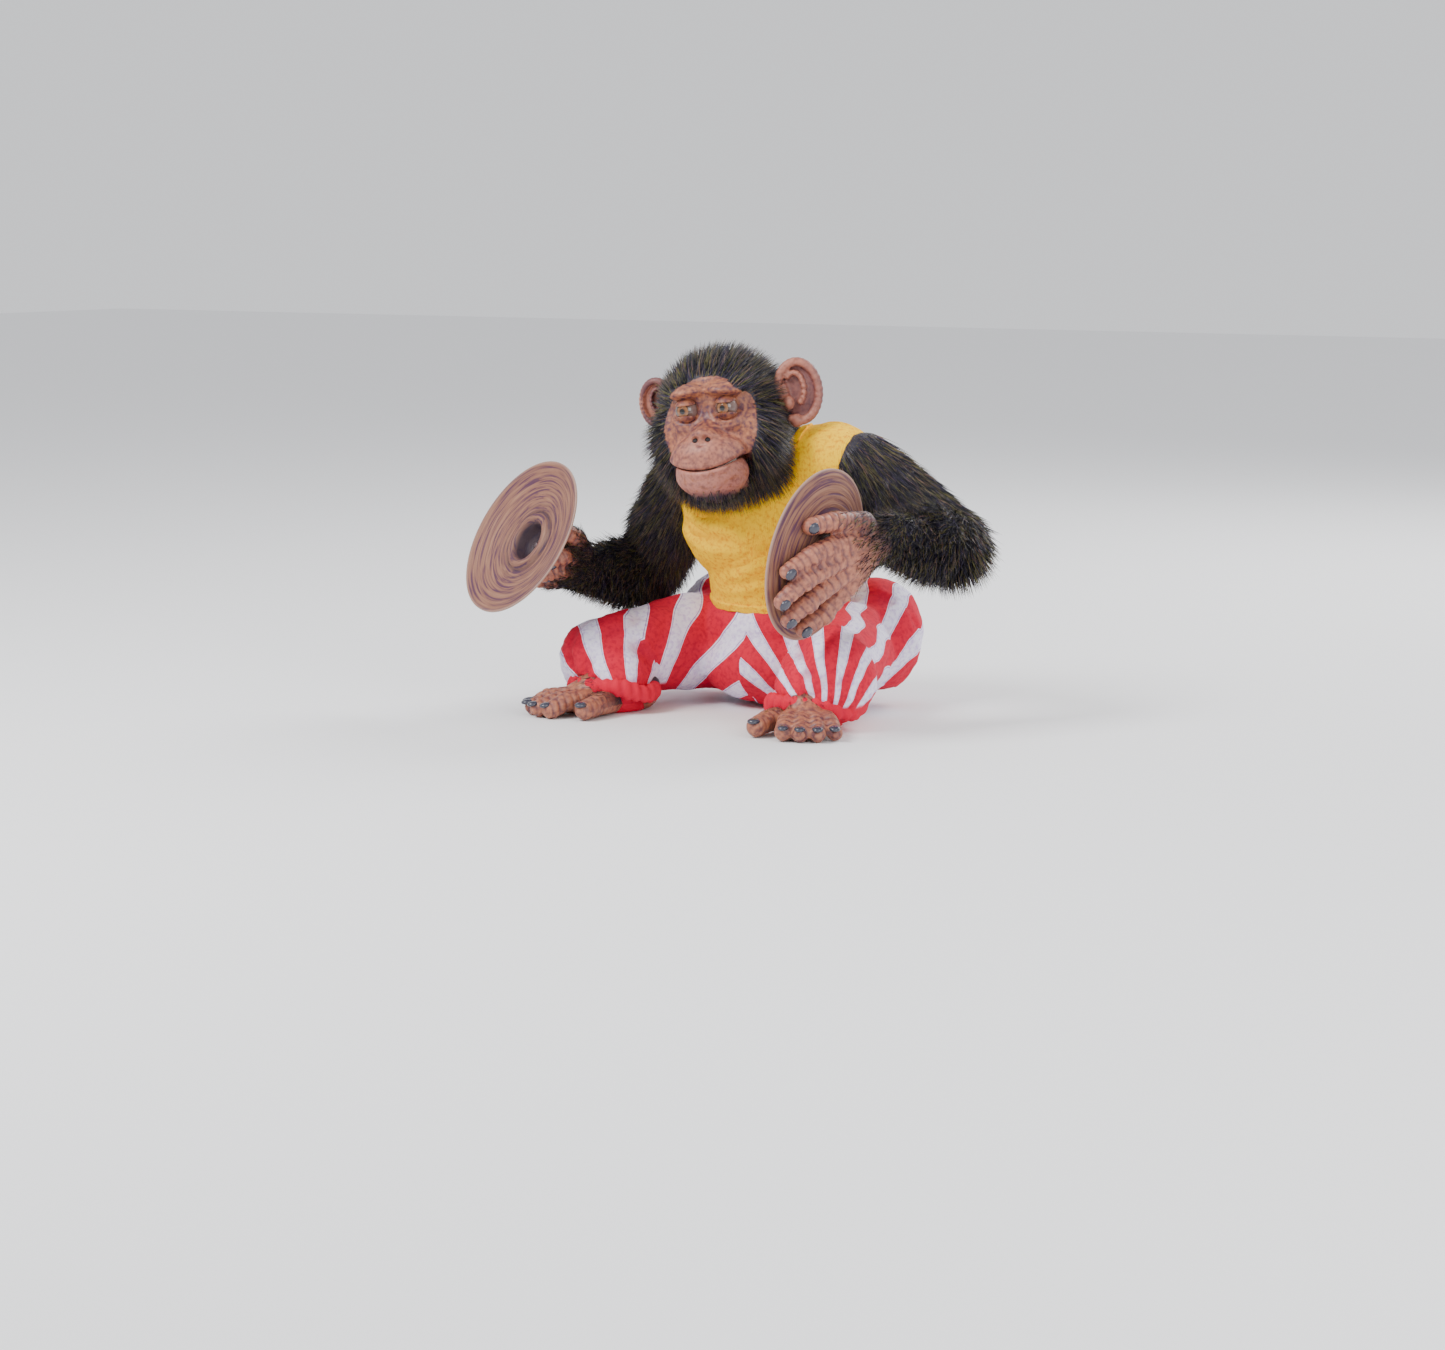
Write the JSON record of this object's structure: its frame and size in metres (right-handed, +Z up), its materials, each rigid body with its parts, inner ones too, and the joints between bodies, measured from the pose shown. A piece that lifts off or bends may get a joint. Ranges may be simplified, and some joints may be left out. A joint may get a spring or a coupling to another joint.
{
  "type": "cymbal-playing monkey",
  "caption": "Squatting clockwork toy ape in a knitted vest and striped trousers, with a hinged arm, wrist and cymbal on each side.",
  "frame": {"origin": "centre of the flat seat, on the surface that the toy sits on", "axes": "+Z up, the ape faces -Y, +X towards its own left"},
  "size_m": [0.3478, 0.249, 0.2398],
  "materials": {
    "casing": "moulded, matt",
    "fur": "long pile plush",
    "skin": "soft moulded skin, satin",
    "ivory": "gloss",
    "eye_glass": "polished",
    "yellow_knit": "rib knit",
    "striped_cloth": "woven, red and white stripes",
    "cymbal_copper": "spun, scratched, copper toned",
    "brass": "stamped",
    "steel": "plain"
  },
  "bodies": {
    "base": {"torso_front_casing": "casing", "torso_rear_casing": "casing", "vest": "yellow_knit", "seat_block": "casing", "right_leg": "casing", "left_leg": "casing", "right_foot": "skin", "left_foot": "skin", "trousers": "striped_cloth", "movement_front_plate": "brass", "movement_rear_plate": "brass", "plate_pillar_1": "steel", "plate_pillar_2": "steel", "plate_pillar_3": "steel", "plate_pillar_4": "steel", "mainspring": "steel", "neck_post": "steel", "right_shoulder_bracket": "steel", "left_shoulder_bracket": "steel", "right_shoulder_pin": "steel", "left_shoulder_pin": "steel"},
    "head": {"skull_shell": "fur", "face_mask": "skin", "head_bracket": "steel", "nod_pin": "steel", "jaw_pin": "steel", "right_ear": "skin", "left_ear": "skin", "right_eye": "eye_glass", "left_eye": "eye_glass", "upper_teeth": "ivory"},
    "jaw": {"lower_jaw": "skin", "lower_teeth": "ivory"},
    "right_arm_body": {"right_arm": "fur", "right_wrist_pin": "steel"},
    "right_hand_body": {"right_hand": "skin", "right_cymbal": "cymbal_copper", "right_cymbal_bolt": "steel"},
    "left_arm_body": {"left_arm": "fur", "left_wrist_pin": "steel"},
    "left_hand_body": {"left_hand": "skin", "left_cymbal": "cymbal_copper", "left_cymbal_bolt": "steel"},
    "winding_arbor": {"great_wheel": "steel", "winding_key": "steel"},
    "second_arbor": {"second_wheel": "brass"},
    "cam_arbor": {"cam_wheel": "brass"},
    "fly_arbor": {"governor_fly": "steel"}
  },
  "joints": [
    {"name": "right_arm_swing", "type": "hinge", "parent": "base", "child": "right_arm_body", "pos_m": [-0.06, -0.048, 0.152], "axis": [0.018, 0.4319, 0.9018], "range_deg": [0, 83]},
    {"name": "right_wrist_turn", "type": "hinge", "parent": "right_arm_body", "child": "right_hand_body", "pos_m": [-0.113, -0.096, 0.092], "axis": [0.9609, -0.277, -0.005], "range_deg": [0, 18.4]},
    {"name": "left_arm_swing", "type": "hinge", "parent": "base", "child": "left_arm_body", "pos_m": [0.06, -0.048, 0.176], "axis": [-0.069, -0.1491, 0.9864], "range_deg": [-50.1, 0]},
    {"name": "left_wrist_turn", "type": "hinge", "parent": "left_arm_body", "child": "left_hand_body", "pos_m": [0.137, -0.12, 0.128], "axis": [0.017, -0.5212, 0.8533], "range_deg": [0, 32.1]},
    {"name": "head_nod", "type": "hinge", "parent": "base", "child": "head", "pos_m": [-0.0069, -0.07477, 0.17413], "axis": [0.956, 0.2741, 0.1045], "range_deg": [-6, 0.5]},
    {"name": "jaw_open", "type": "hinge", "parent": "head", "child": "jaw", "pos_m": [0.00153, -0.10149, 0.16717], "axis": [0.956, 0.2741, 0.1045], "range_deg": [0, 7]},
    {"name": "key_turn", "type": "hinge", "parent": "base", "child": "winding_arbor", "pos_m": [0, -0.024, 0.086], "axis": [0, 1, 0], "continuous": true},
    {"name": "second_turn", "type": "hinge", "parent": "base", "child": "second_arbor", "pos_m": [-0.02, -0.024, 0.0963], "axis": [0, 1, 0], "continuous": true},
    {"name": "cam_turn", "type": "hinge", "parent": "base", "child": "cam_arbor", "pos_m": [-0.004, -0.024, 0.10744], "axis": [0, 1, 0], "continuous": true},
    {"name": "fly_turn", "type": "hinge", "parent": "base", "child": "fly_arbor", "pos_m": [0.012, -0.024, 0.10744], "axis": [0, 1, 0], "continuous": true}
  ],
  "couplings": [
    {"joint": "left_arm_swing", "follows": "right_arm_swing", "ratio": -0.603},
    {"joint": "right_wrist_turn", "follows": "right_arm_swing", "ratio": 0.2202},
    {"joint": "left_wrist_turn", "follows": "right_arm_swing", "ratio": 0.3854},
    {"joint": "second_turn", "follows": "key_turn", "ratio": -4},
    {"joint": "cam_turn", "follows": "key_turn", "ratio": 13.333},
    {"joint": "fly_turn", "follows": "key_turn", "ratio": -40}
  ]
}
